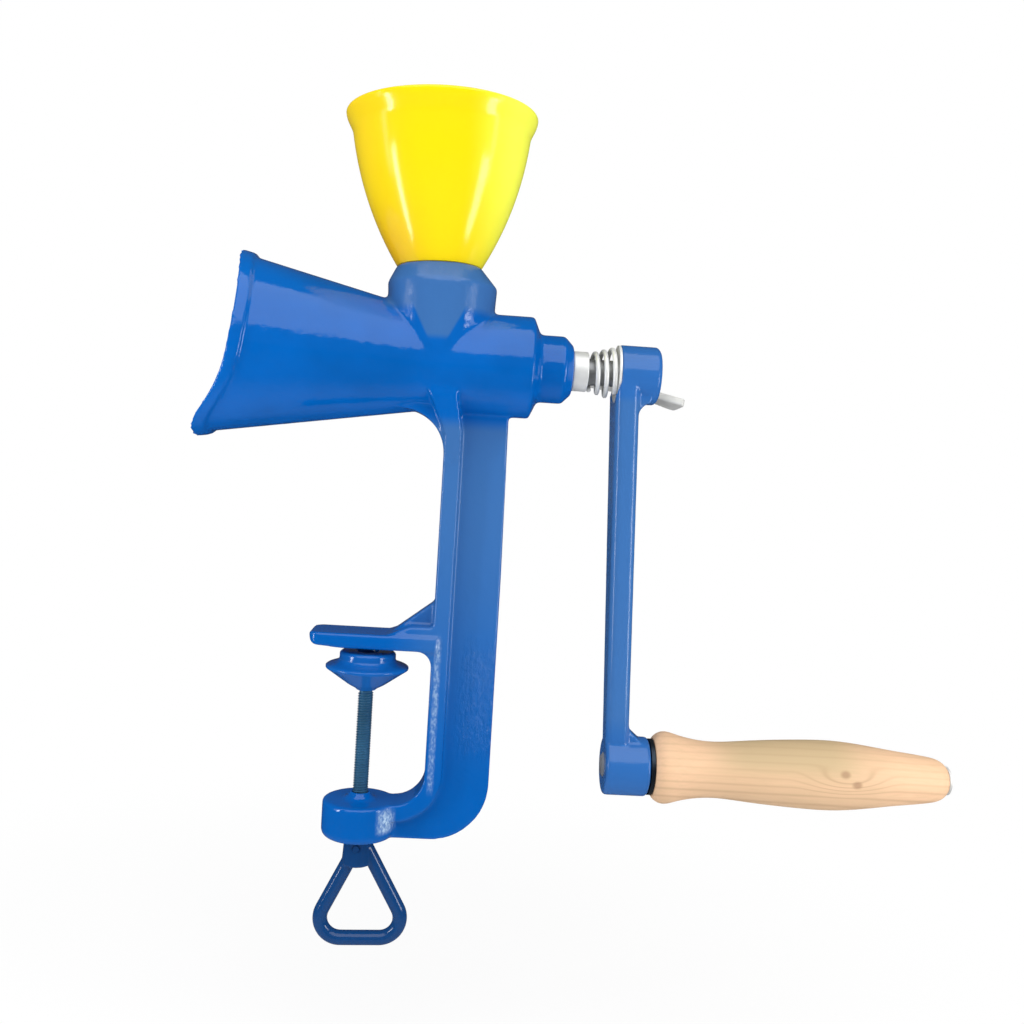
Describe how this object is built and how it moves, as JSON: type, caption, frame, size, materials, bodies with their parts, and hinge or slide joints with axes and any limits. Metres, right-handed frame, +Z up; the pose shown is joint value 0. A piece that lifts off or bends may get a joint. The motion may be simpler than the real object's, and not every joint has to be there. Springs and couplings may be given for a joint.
{
  "type": "hand crank peanut grinder",
  "caption": "Clamp-on hand mill: enamelled iron body with trumpet outlet, plastic hopper, spring-loaded burrs, crank with turned wooden handle.",
  "frame": {"origin": "on the clamp screw's axis, in the face of the upper jaw that sits on the table", "axes": "+Z up, +X along the shaft from the outlet towards the crank, +Y away from the user's view of the loop and crank face"},
  "size_m": [0.3022, 0.0718, 0.3208],
  "materials": {
    "blue_enamel": "glossy blue enamel on rough cast iron",
    "yellow_plastic": "glossy injection-moulded yellow plastic",
    "bare_iron": "bare cast iron, oiled",
    "zinc_steel": "zinc-plated steel",
    "wing_zinc": "matt galvanised casting",
    "dark_steel": "blackened, oiled steel",
    "pale_wood": "turned pale softwood, thin clear varnish"
  },
  "bodies": {
    "frame": {"body_casting": "blue_enamel", "burr_stator": "bare_iron", "stator_pin": "dark_steel", "shaft_bush": "zinc_steel", "pressure_spring": "zinc_steel"},
    "spring_seat": {"spring_washer": "zinc_steel"},
    "crank": {"main_shaft": "zinc_steel", "feed_auger": "bare_iron", "auger_pin": "dark_steel", "burr_rotor": "bare_iron", "rotor_key": "dark_steel", "rotor_washer": "zinc_steel", "rotor_nut": "zinc_steel", "crank_arm": "blue_enamel", "handle_spindle": "dark_steel", "handle_end_washer": "zinc_steel"},
    "handle": {"handle": "pale_wood", "handle_washer": "dark_steel"},
    "wing_screw": {"wing_screw": "wing_zinc"},
    "pad": {"clamp_pad": "blue_enamel"},
    "clamp_screw": {"clamp_screw": "dark_steel", "clamp_loop": "blue_enamel", "loop_pin": "dark_steel"},
    "hopper": {"hopper": "yellow_plastic"}
  },
  "joints": [
    {"name": "shaft_float", "type": "slide", "parent": "frame", "child": "spring_seat", "axis": [-1, 0, 0], "range_m": [0, 0.002], "stiffness_N_per_m": 2500, "springref_m": -0.004, "deforming": ["pressure_spring"]},
    {"name": "crank_turn", "type": "hinge", "parent": "spring_seat", "child": "crank", "pos_m": [0, 0, 0.11], "axis": [1, 0, 0], "continuous": true},
    {"name": "handle_turn", "type": "hinge", "parent": "crank", "child": "handle", "pos_m": [0.1112, 0, -0.042], "axis": [1, 0, 0], "continuous": true},
    {"name": "wing_screw_turn", "type": "hinge", "parent": "crank", "child": "wing_screw", "pos_m": [0.09945, 0, 0.11], "axis": [0, 0.9781, -0.2079], "range_deg": [0, 720]},
    {"name": "pad_travel", "type": "slide", "parent": "frame", "child": "pad", "axis": [0, 0, -1], "range_m": [0, 0.038]},
    {"name": "clamp_turn", "type": "hinge", "parent": "pad", "child": "clamp_screw", "pos_m": [0, 0, 0], "axis": [0, 0, -1], "range_deg": [0, 13690]},
    {"name": "hopper_lift", "type": "slide", "parent": "frame", "child": "hopper", "axis": [-0.0349, 0, 0.9994], "range_m": [0, 0.05]}
  ],
  "couplings": [
    {"joint": "clamp_turn", "follows": "pad_travel", "rad_per_m": 6283.2}
  ]
}
